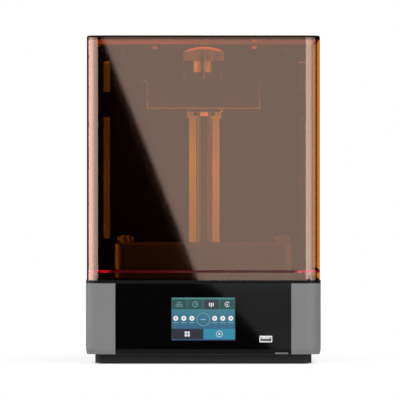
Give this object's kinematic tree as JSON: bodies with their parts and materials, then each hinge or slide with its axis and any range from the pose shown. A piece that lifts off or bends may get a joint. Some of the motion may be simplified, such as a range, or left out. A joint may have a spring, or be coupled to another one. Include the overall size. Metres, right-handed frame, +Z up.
{
  "type": "resin printer",
  "caption": "Desktop resin 3-D printer: grey base with a front touch screen, vat on a stage, build platform on a screw-driven carriage, and an amber lift-off cover.",
  "frame": {"origin": "centre of the footprint on the surface that the feet stand on", "axes": "+Z up, the front with the touch screen faces -Y, +X to the right seen from the front"},
  "size_m": [0.28, 0.28, 0.3912],
  "materials": {
    "tray_black": "satin",
    "foot_rubber": "matte",
    "housing_grey": "satin",
    "panel_black": "gloss",
    "screen_glass": "gloss",
    "lcd_glass": "gloss",
    "module_grey": "matte",
    "socket_steel": "satin",
    "socket_white": "matte",
    "light_pale": "gloss",
    "box_steel": "satin",
    "board_green": "satin",
    "led_lens": "gloss",
    "sink_aluminium": "satin",
    "fan_black": "matte",
    "column_aluminium": "satin",
    "rail_steel": "polished",
    "bush_brass": "satin",
    "motor_black": "satin",
    "coupler_aluminium": "satin",
    "shield_black": "matte",
    "bolt_black": "satin",
    "platform_aluminium": "satin",
    "knob_aluminium": "satin",
    "vat_aluminium": "satin",
    "film_clear": "gloss",
    "cover_amber": "gloss",
    "stripe_red": "gloss"
  },
  "bodies": {
    "base": {"base_tray": "tray_black", "rubber_feet": "foot_rubber", "housing_shell": "housing_grey", "front_panel": "panel_black", "touch_screen": "screen_glass", "display_module": "module_grey", "usb_shell": "socket_steel", "usb_tongue": "socket_white", "status_light": "light_pale", "top_deck": "panel_black", "lcd_stage": "panel_black", "lcd_glass": "lcd_glass", "light_box": "box_steel", "led_board": "board_green", "uv_leds": "led_lens", "led_heat_sink": "sink_aluminium", "fan_grille": "fan_black", "fan_frame": "fan_black", "power_inlet": "fan_black", "rocker_frame": "fan_black", "mainboard": "board_green", "board_posts": "box_steel", "z_column": "column_aluminium", "left_rail": "rail_steel", "right_rail": "rail_steel", "top_bearing_block": "column_aluminium", "lower_bush": "bush_brass", "upper_bush": "bush_brass", "z_motor": "motor_black", "motor_posts": "box_steel", "limit_sensor": "fan_black", "back_shield": "shield_black"},
    "screw": {"motor_shaft": "rail_steel", "shaft_coupler": "coupler_aluminium", "lead_screw": "rail_steel"},
    "carriage": {"carriage_plate": "column_aluminium", "left_rail_block": "rail_steel", "right_rail_block": "rail_steel", "lead_nut": "bush_brass", "carriage_bolts": "bolt_black", "sensor_flag": "rail_steel", "platform_arm": "column_aluminium", "platform_body": "platform_aluminium", "build_plate": "platform_aluminium", "level_screws": "bolt_black"},
    "knob": {"clamp_stud": "rail_steel", "clamp_knob": "knob_aluminium"},
    "vat": {"vat_frame": "vat_aluminium", "release_film": "film_clear", "film_ring": "vat_aluminium"},
    "left_thumb_screw": {"vat_screw_left": "knob_aluminium"},
    "right_thumb_screw": {"vat_screw_right": "knob_aluminium"},
    "fan": {"fan_rotor": "fan_black"},
    "rocker": {"power_rocker": "fan_black"},
    "cover": {"cover_shell": "cover_amber", "cover_top": "cover_amber", "cover_stripe": "stripe_red"}
  },
  "joints": [
    {"name": "cover_lift", "type": "slide", "parent": "base", "child": "cover", "axis": [0, 0, 1], "range_m": [0, 0.3]},
    {"name": "z_travel", "type": "slide", "parent": "base", "child": "carriage", "axis": [0, 0, 1], "range_m": [-0.1915, 0.002]},
    {"name": "screw_spin", "type": "hinge", "parent": "base", "child": "screw", "pos_m": [0, 0.083, 0.2], "axis": [0, 0, 1], "range_deg": [-100, 8640]},
    {"name": "clamp_knob_turn", "type": "hinge", "parent": "carriage", "child": "knob", "pos_m": [0, -0.032, 0.36], "axis": [0, 0, 1], "continuous": true},
    {"name": "vat_lift", "type": "slide", "parent": "base", "child": "vat", "axis": [0, 0, 1], "range_m": [0, 0.035]},
    {"name": "left_thumb_turn", "type": "hinge", "parent": "vat", "child": "left_thumb_screw", "pos_m": [-0.0944, -0.032, 0.148], "axis": [0, 0, 1], "continuous": true},
    {"name": "right_thumb_turn", "type": "hinge", "parent": "vat", "child": "right_thumb_screw", "pos_m": [0.0944, -0.032, 0.148], "axis": [0, 0, 1], "continuous": true},
    {"name": "fan_spin", "type": "hinge", "parent": "base", "child": "fan", "pos_m": [-0.068, 0.13, 0.0536], "axis": [0, 1, 0], "continuous": true},
    {"name": "rocker_tip", "type": "hinge", "parent": "base", "child": "rocker", "pos_m": [0.05, 0.125, 0.0536], "axis": [1, 0, 0], "range_deg": [-18, 0]}
  ],
  "couplings": [
    {"joint": "screw_spin", "follows": "z_travel", "rad_per_m": -785.4}
  ]
}
